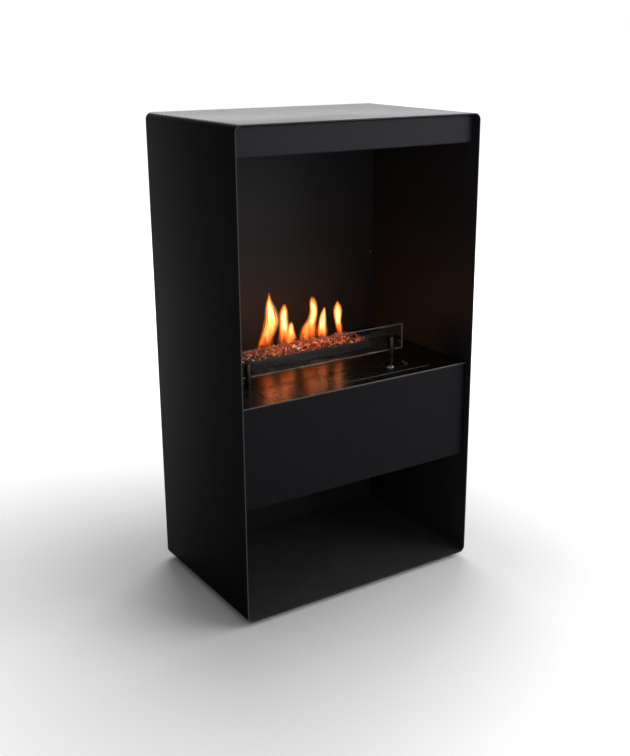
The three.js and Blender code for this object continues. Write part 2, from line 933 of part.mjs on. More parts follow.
function makeCapSeal() {
  const inside = neckBore / 2 + sealClearance;
  const outside = neckBore / 2 + neckWall;
  const bottom = neckTop + gap;
  return turned([
    [inside, bottom],
    [outside, bottom],
    [outside, sealTop],
    [inside, sealTop],
    [inside, bottom],
  ]);
}

// A low turned cap with a coin slot across its top.
function makeFillerCap() {
  const radius = capDiameter / 2;
  const top = capBottom + capHeight;
  const body = turned([
    [0, capBottom],
    [radius - capChamfer / 2, capBottom],
    [radius, capBottom + capChamfer / 2],
    [radius, top - capChamfer],
    [radius - capChamfer, top],
    [0, top],
  ]);
  const x = coinSlotLength / 2;
  const y = coinSlotWidth / 2;
  return cut(body, block(-x, x, -y, y, top - coinSlotDepth, top + 1));
}

// ---------- Level gauge (from its own middle, on the hearth) ----------

const gaugeTop = gap + gaugeFlangeThickness;
const lensSeat = gaugeTop - lensThickness;

function makeGaugeBush() {
  const bore = gaugeBore / 2;
  const sleeve = gaugeSleeve / 2;
  const recess = lensDiameter / 2 + gap;
  return turned([
    [bore, -gaugeDrop],
    [sleeve, -gaugeDrop],
    [sleeve, gap],
    [gaugeFlange / 2, gap],
    [gaugeFlange / 2, gaugeTop - gaugeChamfer],
    [gaugeFlange / 2 - gaugeChamfer, gaugeTop],
    [recess, gaugeTop],
    [recess, lensSeat],
    [bore, lensSeat],
    [bore, -gaugeDrop],
  ]);
}

function makeGaugeLens() {
  const radius = lensDiameter / 2;
  const bottom = lensSeat + gap;
  const edge = bottom + lensThickness - lensEdgeDrop;
  return turned([
    [0, bottom],
    [radius, bottom],
    [radius, edge],
    [radius * 0.7, edge + lensDome * 0.7],
    [0, edge + lensDome],
  ]);
}

const floatTubeBore = floatDiameter + 2 * floatRunning;

// The tube hangs from the plate and guides the float. Slots let the fuel in.
function makeFloatTube() {
  const bore = floatTubeBore / 2;
  const outside = bore + floatTubeWall;
  const top = plateUnderside - gap;
  const bottom = tankFloor + gap;
  const tube = turned([
    [bore, bottom],
    [outside, bottom],
    [outside, top],
    [bore, top],
    [bore, bottom],
  ]);
  const slotHalf = floatTubeSlotWidth / 2;
  const slots = Array.from({ length: floatTubeSlots }, (_, i) =>
    block(0, outside + 1, -slotHalf, slotHalf, bottom - 1, top - floatTubeSlotHeadroom)
      .rotateZ((i * Math.PI * 2) / floatTubeSlots),
  );
  return cut(tube, ...slots);
}

const floatBottom = tankFloor + gap;

function makeLevelFloat() {
  const radius = floatDiameter / 2;
  const top = floatBottom + floatHeight;
  return turned([
    [0, floatBottom],
    [radius - floatChamfer, floatBottom],
    [radius, floatBottom + floatChamfer],
    [radius, top - floatChamfer],
    [radius - floatChamfer, top],
    [0, top],
  ]);
}

function makeLevelRod() {
  const bottom = floatBottom + floatHeight + gap;
  return round(rodDiameter, bottom, lensSeat - rodHeadroom - floatTravel, 12);
}

// ---------- Levelling feet (from the floor, under the foot's own middle) ----------

const footHeadBottom = footPadHeight - footHeadHeight;

function makeFootNut() {
  const top = floorGap - gap;
  const hexagon = footNutWidth / Math.cos(Math.PI / 6);
  return cut(
    round(hexagon, top - footNutHeight, top, 6),
    round(footStemDiameter + 2 * gap, 0, floorGap + 1, 16),
  );
}

function makeFootStem() {
  return turned(
    [
      [0, footHeadBottom + gap],
      [footHeadDiameter / 2, footHeadBottom + gap],
      [footHeadDiameter / 2, footPadHeight],
      [footStemDiameter / 2, footPadHeight],
      [footStemDiameter / 2, floorGap - gap],
      [0, floorGap - gap],
    ],
    16,
  );
}

function makeFootPad() {
  const radius = footDiameter / 2;
  const recess = footHeadDiameter / 2 + gap;
  return turned(
    [
      [0, 0],
      [radius - footPadRounding, 0],
      [radius, footPadRounding],
      [radius, footPadHeight - footPadRounding],
      [radius - footPadRounding, footPadHeight],
      [recess, footPadHeight],
      [recess, footHeadBottom],
      [0, footHeadBottom],
    ],
    16,
  );
}

// ---------- Assembly ----------

function piece(parent, name, geometry, material) {
  const mesh = new THREE.Mesh(geometry, material);
  mesh.name = name;
  parent.add(mesh);
  return mesh;
}

function groupAt(parent, x, y, z) {
  const group = new THREE.Group();
  group.position.set(x, y, z);
  parent.add(group);
  return group;
}

const fireplace = new THREE.Group();

const cabinet = groupAt(fireplace, 0, 0, 0);
piece(cabinet, "outer_shell", makeOuterShell(), satinBlack);
piece(cabinet, "back_panel", makeBackPanel(), satinBlack);
piece(cabinet, "header_panel", makeHeaderPanel(), satinBlack);
backScrewPlaces.forEach(({ x, z }, i) => {
  const length = shellSheet + backSheet;
  const screw = piece(cabinet, `back_screw_${i + 1}`, makeScrew(length), zincSteel);
  screw.rotation.x = -Math.PI / 2;
  screw.position.set(x, rearY - length, z);
});

const housing = groupAt(cabinet, 0, 0, 0);
piece(housing, "front_panel", makeFrontPanel(), satinBlack);
piece(housing, "hearth_plate", makeHearthPlate(), glossBlack);
piece(housing, "housing_floor", makeHousingFloor(), satinBlack);
piece(housing, "side_bracket_left", makeSideBracket(-1), satinBlack);
piece(housing, "side_bracket_right", makeSideBracket(1), satinBlack);
piece(housing, "rear_bracket", makeRearBracket(), satinBlack);
piece(housing, "burner_ledge", makeBurnerLedge(), satinBlack);
piece(housing, "spill_tray", makeSpillTray(), plainSteel);
floorScrewPlaces.forEach(({ x, y }, i) => {
  const screw = piece(housing, `floor_screw_${i + 1}`, makeFloorScrew(), zincSteel);
  screw.position.set(x, y, housingFloorZ - gap);
});

for (const { name, x, y } of footPlaces) {
  const foot = groupAt(cabinet, x, y, 0);
  piece(foot, `foot_nut_${name}`, makeFootNut(), zincSteel);
  piece(foot, `foot_stem_${name}`, makeFootStem(), zincSteel);
  piece(foot, `foot_pad_${name}`, makeFootPad(), blackPlastic);
}

const burner = groupAt(fireplace, 0, 0, hearthLevel);
piece(burner, "burner_plate", makeBurnerPlate(), glossBlack);
piece(burner, "fuel_tank", makeFuelTank(), plainSteel);
piece(burner, "tank_base", makeTankBase(), plainSteel);

const fireBed = groupAt(burner, burnerOffset, troughCentreY, 0);
piece(fireBed, "burner_trough", makeTrough(), satinBlack);
piece(fireBed, "flame_deck", makeFlameDeck(), plainSteel);
piece(fireBed, "flame_shutter", makeShutter(), plainSteel);
piece(fireBed, "stone_bed", makeStoneBed(), copperStone);
piece(fireBed, "fuel_absorber", makeAbsorber(), whiteWool);

const screen = groupAt(burner, burnerOffset, glassY, 0);
piece(screen, "glass_pane", makeGlassPane(), clearGlass);
for (const [side, x] of [
  ["left", -postOffsetX],
  ["right", postOffsetX],
]) {
  const post = groupAt(screen, x, 0, 0);
  piece(post, `glass_post_${side}`, makeGlassPost(), glossBlack);
  piece(post, `glass_pad_${side}`, makeGlassPad(), blackRubber);
}

const filler = groupAt(burner, fillerX, serviceY, 0);
piece(filler, "filler_neck", makeFillerNeck(), brightSteel);
piece(filler, "cap_seal", makeCapSeal(), blackRubber);
piece(filler, "filler_cap", makeFillerCap(), brightSteel);

const gauge = groupAt(burner, gaugeX, serviceY, 0);
piece(gauge, "gauge_bush", makeGaugeBush(), brightSteel);
piece(gauge, "gauge_lens", makeGaugeLens(), clearGlass);
piece(gauge, "float_tube", makeFloatTube(), plainSteel);
piece(gauge, "level_float", makeLevelFloat(), blackPlastic);
piece(gauge, "level_rod", makeLevelRod(), redPlastic);

export default fireplace;
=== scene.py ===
"""The looks of a free-standing bioethanol fireplace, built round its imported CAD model.
Metres, +Z up, the open front faces -Y."""

import json
import math
import random

import bmesh
import bpy
from mathutils import Matrix, Vector


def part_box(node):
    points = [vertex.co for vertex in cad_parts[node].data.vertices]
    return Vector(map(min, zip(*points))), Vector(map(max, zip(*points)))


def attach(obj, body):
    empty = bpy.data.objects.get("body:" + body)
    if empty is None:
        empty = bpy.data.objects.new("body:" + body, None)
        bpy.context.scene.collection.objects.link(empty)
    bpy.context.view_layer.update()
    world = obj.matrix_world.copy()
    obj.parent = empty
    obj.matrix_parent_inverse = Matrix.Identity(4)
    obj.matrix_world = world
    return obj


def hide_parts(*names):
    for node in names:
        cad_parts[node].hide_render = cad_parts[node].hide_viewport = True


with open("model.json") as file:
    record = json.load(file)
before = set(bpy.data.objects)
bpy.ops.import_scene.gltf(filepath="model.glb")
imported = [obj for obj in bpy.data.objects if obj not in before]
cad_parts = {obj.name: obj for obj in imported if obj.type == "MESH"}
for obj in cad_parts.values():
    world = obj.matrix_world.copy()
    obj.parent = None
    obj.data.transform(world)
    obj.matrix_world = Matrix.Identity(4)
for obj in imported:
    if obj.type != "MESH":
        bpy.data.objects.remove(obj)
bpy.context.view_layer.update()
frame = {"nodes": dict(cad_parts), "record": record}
MM = 0.001
GAP = 0.3 * MM  # between pieces that touch, as in the CAD


def add_object(name, data):
    """Puts new data in the scene as an object."""
    made = bpy.data.objects.new(name, data)
    bpy.context.scene.collection.objects.link(made)
    return made


# ---------- Camera, as fitted to the photograph ----------

LENS, SENSOR_WIDTH = 50.84, 36  # mm
SHIFT_X, SHIFT_Y = -0.04495, -0.01942
FAR_CLIP = 60
CAMERA_PLACE = (-1.2632774, -1.9679003, 1.2135953)
# The directions of the picture's axes in the model's frame.
RIGHT = Vector((0.8236893, -0.56703254, 0.00316747))
DOWN = Vector((-0.16537476, -0.24556421, -0.95516983))
AHEAD = Vector((0.5423902, 0.78623935, -0.29604149))


def make_camera():
    data = bpy.data.cameras.new("camera")
    data.lens = LENS
    data.sensor_width = SENSOR_WIDTH
    data.shift_x = SHIFT_X
    data.shift_y = SHIFT_Y
    data.clip_end = FAR_CLIP
    camera = add_object("camera", data)
    turn = Matrix((RIGHT, -DOWN, -AHEAD)).transposed().to_4x4()
    camera.matrix_world = Matrix.Translation(CAMERA_PLACE) @ turn
    bpy.context.scene.camera = camera


# ---------- Material building ----------


class Nodes:
    """A node tree and short ways to add to it."""

    def __init__(self, tree):
        self.tree = tree

    def node(self, kind, **values):
        made = self.tree.nodes.new(kind)
        for key, value in values.items():
            setattr(made, key, value)
        return made

    def link(self, start, end):
        self.tree.links.new(start, end)

    def math(self, operation, first, second):
        made = self.node("ShaderNodeMath", operation=operation)
        for socket, value in zip(made.inputs, (first, second)):
            if isinstance(value, (int, float)):
                socket.default_value = value
            else:
                self.link(value, socket)
        return made.outputs["Value"]

    def vector_math(self, operation, vector, other=(0, 0, 0), result="Vector"):
        made = self.node("ShaderNodeVectorMath", operation=operation)
        self.link(vector, made.inputs[0])
        made.inputs[1].default_value = other
        return made.outputs[result]

    def showing(self):
        """1 for a ray that shows the background: from the camera, through glass or off gloss."""
        path = self.node("ShaderNodeLightPath").outputs
        straight = self.math("ADD", path["Is Camera Ray"], path["Is Transmission Ray"])
        return self.math("MINIMUM", self.math("ADD", straight, path["Is Glossy Ray"]), 1.0)


class Paint(Nodes):
    """A Principled material and short ways to detail it."""

    def __init__(self, name, colour, roughness, metallic=0.0, **sockets):
        self.material = bpy.data.materials.new(name)
        self.material.use_nodes = True
        super().__init__(self.material.node_tree)
        self.shader = self.tree.nodes["Principled BSDF"]
        self.set("Base Color", (*colour, 1))
        self.set("Roughness", roughness)
        self.set("Metallic", metallic)
        for socket, value in sockets.items():
            self.set(socket.replace("_", " "), value)
        self.place = self.node("ShaderNodeTexCoord").outputs["Object"]

    def set(self, socket, value):
        self.shader.inputs[socket].default_value = value

    def drive(self, socket, source):
        self.link(source, self.shader.inputs[socket])

    def stretched(self, scale):
        mapping = self.node("ShaderNodeMapping")
        mapping.inputs["Scale"].default_value = scale
        self.link(self.place, mapping.inputs["Vector"])
        return mapping.outputs["Vector"]

    def noise(self, scale, detail, roughness=0.55, stretch=None, distortion=0.0):
        made = self.node("ShaderNodeTexNoise")
        made.inputs["Scale"].default_value = scale
        made.inputs["Detail"].default_value = detail
        made.inputs["Roughness"].default_value = roughness
        made.inputs["Distortion"].default_value = distortion
        self.link(self.stretched(stretch) if stretch else self.place, made.inputs["Vector"])
        return made.outputs["Fac"]

    def attribute(self, name):
        return self.node("ShaderNodeAttribute", attribute_name=name).outputs["Fac"]

    def spread(self, source, low, high, start=0.3, end=0.7):
        """Runs from low to high as the source goes from start to end."""
        made = self.node("ShaderNodeMapRange")
        limits = (("From Min", start), ("From Max", end), ("To Min", low), ("To Max", high))
        for socket, value in limits:
            made.inputs[socket].default_value = value
        self.link(source, made.inputs["Value"])
        return made.outputs["Result"]

    def ramp(self, source, stops):
        made = self.node("ShaderNodeValToRGB")
        elements = made.color_ramp.elements
        while len(elements) < len(stops):
            elements.new(0.5)
        for element, (position, colour) in zip(elements, stops):
            element.position = position
            element.color = (*colour, 1)
        self.link(source, made.inputs["Fac"])
        return made.outputs["Color"]

    def mix(self, factor, first, second):
        made = self.node("ShaderNodeMix", data_type="RGBA")
        self.link(factor, made.inputs["Factor"])
        for socket, value in ((made.inputs["A"], first), (made.inputs["B"], second)):
            if isinstance(value, tuple):
                socket.default_value = (*value, 1)
            else:
                self.link(value, socket)
        return made.outputs["Result"]

    def mottle(self, noise, dark, light):
        """A colour that wanders between two shades."""
        return self.mix(self.spread(noise, 0, 1), dark, light)

    def facing(self, axis):
        """How far the surface faces along X, Y or Z of the model."""
        split = self.node("ShaderNodeSeparateXYZ")
        self.link(self.node("ShaderNodeNewGeometry").outputs["Normal"], split.inputs["Vector"])
        return split.outputs[axis]

    def with_front_highlight(self, shade, front_highlight):
        """The shade, but a paler colour where the surface faces the front: a painted highlight."""
        return self.mix(self.spread(self.facing("Y"), 1, 0, -0.95, -0.5), shade, front_highlight)

    def bump(self, *layers):
        """Adds (height, distance in metres, strength) layers, the coarsest first."""
        normal = None
        for height, distance, strength in layers:
            made = self.node("ShaderNodeBump")
            made.inputs["Strength"].default_value = strength
            made.inputs["Distance"].default_value = distance
            self.link(height, made.inputs["Height"])
            if normal:
                self.link(normal, made.inputs["Normal"])
            normal = made.outputs["Normal"]
        self.link(normal, self.shader.inputs["Normal"])


def grey(level):
    return (level,) * 3


def scaled(colour, factor):
    return tuple(min(c * factor, 1) for c in colour)


def powder_coat(name, colour, roughness, specular, front_highlight=None):
    """Satin powder coat with a fine texture. It is paler where dust lies, and may be painted paler on
    faces turned to the front, as a painted highlight.
    """
    paint = Paint(name, colour, roughness, Specular_IOR_Level=specular)
    cloud = paint.noise(5, detail=5)
    grain = paint.noise(900, detail=2)
    texture = paint.noise(160, detail=2)
    upward = paint.spread(paint.facing("Z"), 0, 1, 0.6, 1.0)
    patches = paint.spread(paint.noise(30, detail=6), 0.35, 0.55, 0.4, 0.7)
    dust = paint.math("MULTIPLY", upward, patches)
    dusty = tuple(c * 1.4 + 0.035 for c in colour)
    clean = paint.mottle(cloud, scaled(colour, 0.85), scaled(colour, 1.15))
    shade = paint.mix(dust, clean, dusty)
    # Faces turned to the front are painted paler here: a painted highlight.
    if front_highlight:
        shade = paint.with_front_highlight(shade, front_highlight)
    paint.drive("Base Color", shade)
    wander = paint.math("ADD", paint.spread(cloud, -0.035, 0.035), paint.spread(grain, -0.03, 0.03))
    paint.drive("Roughness", paint.math("ADD", wander, roughness))
    paint.bump((texture, 0.08 * MM, 0.25), (grain, 0.04 * MM, 0.5))
    return paint.material


def gloss_enamel(name, front_highlight=None):
    """Black enamel with wipe marks and a faint orange peel. Its faces turned to the front may be painted
    paler, as a painted highlight.
    """
    tint = (1.0, 0.86, 0.74, 1)
    paint = Paint(name, (0.006, 0.006, 0.0066), 0.3, Specular_IOR_Level=0.4, Specular_Tint=tint)
    wipe = paint.noise(7, detail=4, stretch=(1, 3, 1), distortion=0.4)
    specks = paint.spread(paint.noise(420, detail=2), 0, 0.03, 0.68, 0.8)
    peel = paint.noise(60, detail=2)
    paint.drive("Roughness", paint.math("ADD", paint.spread(wipe, 0.24, 0.29), specks))
    shade = paint.mottle(wipe, (0.0028, 0.0028, 0.003), (0.0036, 0.0035, 0.0037))
    # Faces turned to the front are painted paler here: a painted highlight.
    if front_highlight:
        shade = paint.with_front_highlight(shade, front_highlight)
    paint.drive("Base Color", shade)
    paint.bump((peel, 0.05 * MM, 0.12))
    return paint.material


def brushed_steel(name, colour, roughness):
    """Steel with fine brush lines along X, and faint stains."""
    paint = Paint(name, colour, roughness, metallic=1.0)
    lines = paint.noise(12, detail=5, stretch=(1, 60, 60))
    stain = paint.noise(18, detail=5)
    dulled = paint.spread(stain, roughness - 0.04, roughness + 0.05)
    paint.drive("Base Color", paint.mottle(stain, scaled(colour, 0.82), scaled(colour, 1.12)))
    paint.drive("Roughness", paint.math("ADD", paint.spread(lines, -0.07, 0.09), dulled))
    paint.bump((lines, 0.03 * MM, 0.35))
    return paint.material


def polished_steel(name, level):
    """Polished metal with faint smears. Its level is how much it mirrors."""
    paint = Paint(name, grey(level), 0.12, metallic=1.0)
    smear = paint.noise(90, detail=5, distortion=0.6)
    paint.drive("Roughness", paint.spread(smear, 0.1, 0.22))
    paint.drive("Base Color", paint.mottle(smear, grey(level * 0.88), grey(level * 1.15)))
    paint.bump((paint.noise(700, detail=2), 0.02 * MM, 0.2))
    return paint.material


def zinc_plate(name):
    """Zinc plating: small crystals with slight colour differences."""
    paint = Paint(name, (0.56, 0.57, 0.6), 0.36, metallic=1.0)
    cells = paint.node("ShaderNodeTexVoronoi")
    cells.inputs["Scale"].default_value = 520
    paint.link(paint.place, cells.inputs["Vector"])
    crystal = cells.outputs["Color"]
    blend = paint.spread(crystal, 0, 1, 0.1, 0.9)
    paint.drive("Base Color", paint.mix(blend, (0.46, 0.47, 0.5), (0.66, 0.66, 0.67)))
    paint.drive("Roughness", paint.spread(crystal, 0.28, 0.46, 0.1, 0.9))
    paint.bump((paint.noise(600, detail=3), 0.03 * MM, 0.3))
    return paint.material


def clear_glass(name):
    """Toughened glass with faint finger marks. It hardly mirrors the room."""
    paint = Paint(name, (0.98, 0.995, 0.99), 0.0, Transmission_Weight=1.0, IOR=1.08)
    marks = paint.noise(26, detail=6, distortion=1.2)
    paint.drive("Roughness", paint.spread(marks, 0.0, 0.01, 0.62, 0.85))
    return paint.material


def glass_rim(name):
    """The ground and polished edge of the glass, which gathers light."""
    paint = Paint(name, (0.14, 0.15, 0.145), 0.25, Transmission_Weight=0.25, IOR=1.45)
    ground = paint.noise(300, detail=4, stretch=(1, 8, 1))
    paint.drive("Roughness", paint.spread(ground, 0.15, 0.4))
    paint.drive("Base Color", paint.mottle(ground, (0.07, 0.08, 0.076), (0.2, 0.21, 0.2)))
    return paint.material


def shiny_stone(name):
    """Copper-coated chips: each has its own tint, with dull pits and bright faces."""
    paint = Paint(name, (0.3, 0.09, 0.05), 0.3, metallic=0.45, Specular_IOR_Level=0.7)
    body = paint.ramp(paint.attribute("tint"), [
        (0.0, (0.06, 0.01, 0.008)),
        (0.3, (0.3, 0.05, 0.03)),
        (0.55, (0.6, 0.16, 0.09)),
        (0.72, (0.85, 0.42, 0.28)),
        (0.9, (1.0, 0.85, 0.68)),
    ])
    pits = paint.spread(paint.noise(420, detail=4), 0, 1, 0.42, 0.62)
    paint.drive("Base Color", paint.mix(pits, (0.06, 0.016, 0.012), body))
    paint.drive("Roughness", paint.spread(pits, 0.5, 0.2, 0, 1))
    paint.bump((paint.noise(700, detail=3), 0.2 * MM, 0.5))
    return paint.material


def ceramic_wool(name):
    """Matt white wool of long fibres."""
    paint = Paint(name, (0.8, 0.77, 0.7), 0.95)
    fibres = paint.noise(60, detail=7, roughness=0.75, stretch=(1, 3, 8), distortion=2)
    paint.drive("Base Color", paint.mottle(fibres, (0.66, 0.62, 0.54), (0.86, 0.84, 0.79)))
    paint.bump((fibres, 0.8 * MM, 0.8))
    return paint.material


def moulded(name, colour, roughness):
    """Moulded plastic or rubber with a fine spark-eroded grain."""
    paint = Paint(name, colour, roughness)
    grain = paint.noise(500, detail=3)
    cloud = paint.noise(40, detail=4)
    paint.drive("Base Color", paint.mottle(cloud, scaled(colour, 0.8), scaled(colour, 1.3)))
    paint.drive("Roughness", paint.spread(grain, roughness - 0.08, min(roughness + 0.08, 1)))
    paint.bump((grain, 0.05 * MM, 0.4))
    return paint.material


def flame(name, strength, colours, cover):
    """A layer of a flame. Its colour and how much it covers follow the height up the flame."""
    paint = Paint(name, (0, 0, 0), 1.0, Specular_IOR_Level=0.0)
    lick = paint.spread(paint.noise(70, detail=4, stretch=(1, 1, 0.3)), -0.16, 0.16)
    rise = paint.math("ADD", paint.attribute("rise"), lick)
    paint.drive("Emission Color", paint.ramp(rise, colours))
    paint.set("Emission Strength", strength)
    streaks = paint.noise(120, detail=4, stretch=(1, 1, 0.16), distortion=0.5)
    body = paint.ramp(rise, [(position, grey(level)) for position, level in cover])
    paint.drive("Alpha", paint.math("MULTIPLY", body, paint.spread(streaks, 0.25, 1.0, 0.38, 0.58)))
    return paint.material


# ---------- Geometry building ----------


def mesh_piece(name, vertices, faces, material, body, smooth_below=40):
    """A piece from its faces, which rides on a body. Edges flatter than smooth_below look round."""
    mesh = bpy.data.meshes.new(name)
    mesh.from_pydata(vertices, [], faces)
    mesh.validate()
    build = bmesh.new()
    build.from_mesh(mesh)
    bmesh.ops.remove_doubles(build, verts=build.verts, dist=1e-7)
    bmesh.ops.recalc_face_normals(build, faces=build.faces)
    build.to_mesh(mesh)
    build.free()
    mesh.materials.append(material)
    mesh.shade_smooth()
    mesh.set_sharp_from_angle(angle=math.radians(smooth_below))
    piece = add_object(name, mesh)
    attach(piece, body)
    return piece


def set_point_values(piece, name, values):
    """Keeps one number for each vertex, for the material to read."""
    attribute = piece.data.attributes.new(name, "FLOAT", "POINT")
    for point, value in zip(attribute.data, values):
        point.value = value


def lofted(sections, loop_closed=False, capped=False):
    """Vertices and faces of a skin over closed sections of equal length."""
    count, rings = len(sections[0]), len(sections)
    vertices = [tuple(p) for section in sections for p in section]
    faces = []
    for i in range(rings if loop_closed else rings - 1):
        for j in range(count):
            this, above = i * count, (i + 1) % rings * count
            after = (j + 1) % count
            faces.append((this + j, this + after, above + after, above + j))
    if capped:
        faces.append(tuple(reversed(range(count))))
        faces.append(tuple(range((rings - 1) * count, rings * count)))
    return vertices, faces


def arc(centre, radius, start, end, steps):
    """Points of an arc, with its angles in degrees."""
    points = []
    for i in range(steps + 1):
        angle = math.radians(start + (end - start) * i / steps)
        points.append((centre[0] + radius * math.cos(angle), centre[1] + radius * math.sin(angle)))
    return points


def rounded_loop(half_x, half_z, radius, steps=12):
    """A rounded rectangle about the origin, always with the same number of points."""
    x, z = half_x - radius, half_z - radius
    loop = []
    for cx, cz, start in ((x, z, 0), (-x, z, 90), (-x, -z, 180), (x, -z, 270)):
        loop += arc((cx, cz), radius, start, start + 90, steps)
    return loop


def turned(profile, centre, segments=48):
    """A skin turned about a vertical axis, from (radius, height) points."""
    x, y, z = centre
    sections = []
    for radius, height in profile:
        ring = []
        for i in range(segments):
            angle = 2 * math.pi * i / segments
            ring.append((x + radius * math.cos(angle), y + radius * math.sin(angle), z + height))
        sections.append(ring)
    return lofted(sections)


def eased(profile, ease, steps=3):
    """A profile with each corner between its ends eased by a small curve."""
    points = [profile[0]]
    for before, corner, after in zip(profile, profile[1:], profile[2:]):
        b, c, a = Vector(before), Vector(corner), Vector(after)
        reach = min(ease, (b - c).length * 0.45, (a - c).length * 0.45)
        start, end = c + (b - c).normalized() * reach, c + (a - c).normalized() * reach
        for i in range(steps + 1):
            t = i / steps
            points.append(tuple(start * (1 - t) ** 2 + c * 2 * t * (1 - t) + end * t * t))
    points.append(profile[-1])
    return points


def subtract(piece, cutter):
    """Cuts one mesh out of another and drops the cutter."""
    modifier = piece.modifiers.new("cut", "BOOLEAN")
    modifier.operation = "DIFFERENCE"
    modifier.solver = "EXACT"
    modifier.object = cutter
    bpy.context.view_layer.update()
    evaluated = piece.evaluated_get(bpy.context.evaluated_depsgraph_get())
    cut = bpy.data.meshes.new_from_object(evaluated)
    piece.modifiers.clear()
    piece.data = cut
    cut.set_sharp_from_angle(angle=math.radians(35))
    bpy.data.objects.remove(cutter)


def cutter_box(low, high):
    build = bmesh.new()
    bmesh.ops.create_cube(build, size=1)
    for vertex in build.verts:
        for axis in range(3):
            vertex.co[axis] = high[axis] if vertex.co[axis] > 0 else low[axis]
    mesh = bpy.data.meshes.new("cutter")
    build.to_mesh(mesh)
    build.free()
    return add_object("cutter", mesh)


def middle(low, high):
    return [(a + b) / 2 for a, b in zip(low, high)]


def half_size(low, high):
    return [(b - a) / 2 for a, b in zip(low, high)]


# ---------- Finishes ----------

BLACK = (0.0039, 0.0036, 0.0052)
# The shell's faces turned to the front, its sheet edge, are painted paler: a painted highlight.
satin = powder_coat("satin_powder_coat", BLACK, 0.26, 0.006, front_highlight=(0.06, 0.06, 0.062))
satin_front = powder_coat("satin_powder_coat_front", BLACK, 0.42, 0.05)
# A brighter, bluer copy of the black coat for the header: painted light and a painted bluish reflection.
satin_header_painted_light = powder_coat("satin_powder_coat_header_painted_light", (0.0072, 0.0064, 0.0106), 0.42, 0.1)
# A paler copy of the black coat for the inside: painted light, standing in for light reaching into the
# cabinet.
satin_inside_painted_light = powder_coat("satin_powder_coat_inside_painted_light", (0.0128, 0.0126, 0.0145), 0.48, 0.1)
trough_coat = powder_coat("trough_coat", (0.012, 0.0098, 0.009), 0.42, 0.15)
enamel = gloss_enamel("gloss_enamel")
# The hearth plate's front edge is painted paler: a painted highlight.
enamel_plate = gloss_enamel("gloss_enamel_plate", front_highlight=(0.05, 0.05, 0.051))
mill_steel = brushed_steel("mill_steel", (0.3, 0.3, 0.305), 0.4)
bright = polished_steel("polished_steel", 0.6)
black_chrome = polished_steel("black_chrome", 0.05)
zinc = zinc_plate("zinc_plate")
glass = clear_glass("clear_glass")
glass_edge = glass_rim("glass_edge")
stone = shiny_stone("copper_stone")
wool = ceramic_wool("ceramic_wool")
rubber = moulded("black_rubber", (0.01, 0.01, 0.01), 0.85)
plastic = moulded("black_plastic", (0.012, 0.012, 0.013), 0.55)
red = moulded("red_plastic", (0.5, 0.02, 0.01), 0.35)

SLOT_FINISH = {
    "shell_black": satin,
    # The panels take the paler inside copy of the coat: painted light.
    "panel_black": satin_inside_painted_light,
    "hearth_black": enamel,
    "plain_steel": mill_steel,
    "bright_steel": bright,
    "zinc_steel": zinc,
    "clear_glass": glass,
    "copper_stone": stone,
    "ceramic_wool": wool,
    "black_rubber": rubber,
    "black_plastic": plastic,
    "red_plastic": red,
}
# The nodes whose finish isn't quite that of their slot. The header's is a brighter, bluer copy of the
# black coat: painted light and a painted bluish reflection. The hearth plate's has a painted highlight
# on its front edge.
NODE_FINISH = {
    "front_panel": satin_front,
    "header_panel": satin_header_painted_light,
    "hearth_plate": enamel_plate,
}


def dress_nodes():
    """Gives each CAD node the detailed finish of its slot, or its own."""
    for part in frame["record"]["subparts"]:
        finish = NODE_FINISH.get(part["node"], SLOT_FINISH[part["material_slot"]])
        mesh = frame["nodes"][part["node"]].data
        mesh.materials.clear()
        mesh.materials.append(finish)


# ---------- Cabinet ----------

SHEET, BEND, LIP = 3 * MM, 15 * MM, 15 * MM
BACK_SCREWS = 8


def make_shell():
    """The wrapped sheet: smooth bends, eased front edges and the lip round the back."""
    low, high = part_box("outer_shell")
    x, _, z = middle(low, high)
    half_x, _, half_z = half_size(low, high)
    front, rear = low.y, high.y
    ease, fold, inner_fold, least_bend = 0.9 * MM, 2.5 * MM, 1 * MM, 2 * MM
    # The cut through the sheet, as (distance in from the outside, depth).
    section = [(0, rear - fold)]
    section += arc((ease, front + ease), ease, 180, 270, 4)
    section += arc((SHEET - ease, front + ease), ease, 270, 360, 4)
    section += [(SHEET, rear - SHEET - inner_fold), (SHEET + inner_fold, rear - SHEET)]
    section += arc((LIP - ease, rear - SHEET + ease), ease, 270, 360, 3)
    section += arc((LIP - ease, rear - ease), ease, 0, 90, 3)
    section += arc((fold, rear - fold), fold, 90, 180, 5)[:-1]
    rings = []
    for inward, depth in section:
        loop = rounded_loop(half_x - inward, half_z - inward, max(BEND - inward, least_bend))
        rings.append([(x + px, depth, z + pz) for px, pz in loop])
    vertices, faces = lofted(rings, loop_closed=True)
    shell = mesh_piece("cabinet_shell", vertices, faces, satin, "cabinet")
    # The inside faces take the paler inside copy of the coat: painted light.
    shell.data.materials.append(satin_inside_painted_light)
    for face in shell.data.polygons:
        outward = (face.center.x - x) * face.normal.x + (face.center.z - z) * face.normal.z
        face.material_index = 1 if outward < 0 and abs(face.normal.y) < 0.5 else 0
    proud, sink, shank, depth = 1 * MM, 2.1 * MM, 2.1 * MM, 5 * MM
    for i in range(1, BACK_SCREWS + 1):
        screw_low, screw_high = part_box(f"back_screw_{i}")
        cx, _, cz = middle(screw_low, screw_high)
        head = (screw_high.x - screw_low.x) / 2 + GAP
        profile = [(0, proud), (head, proud), (head, 0)]
        profile += [(shank, -sink), (shank, -depth), (0, -depth)]
        hole, hole_faces = turned(profile, (0, 0, 0), 24)
        placed = [(cx + px, rear + pz, cz - py) for px, py, pz in hole]
        cutter = mesh_piece("cutter", placed, hole_faces, satin, "cabinet")
        subtract(shell, cutter)
    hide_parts("outer_shell")


# ---------- Burner ----------

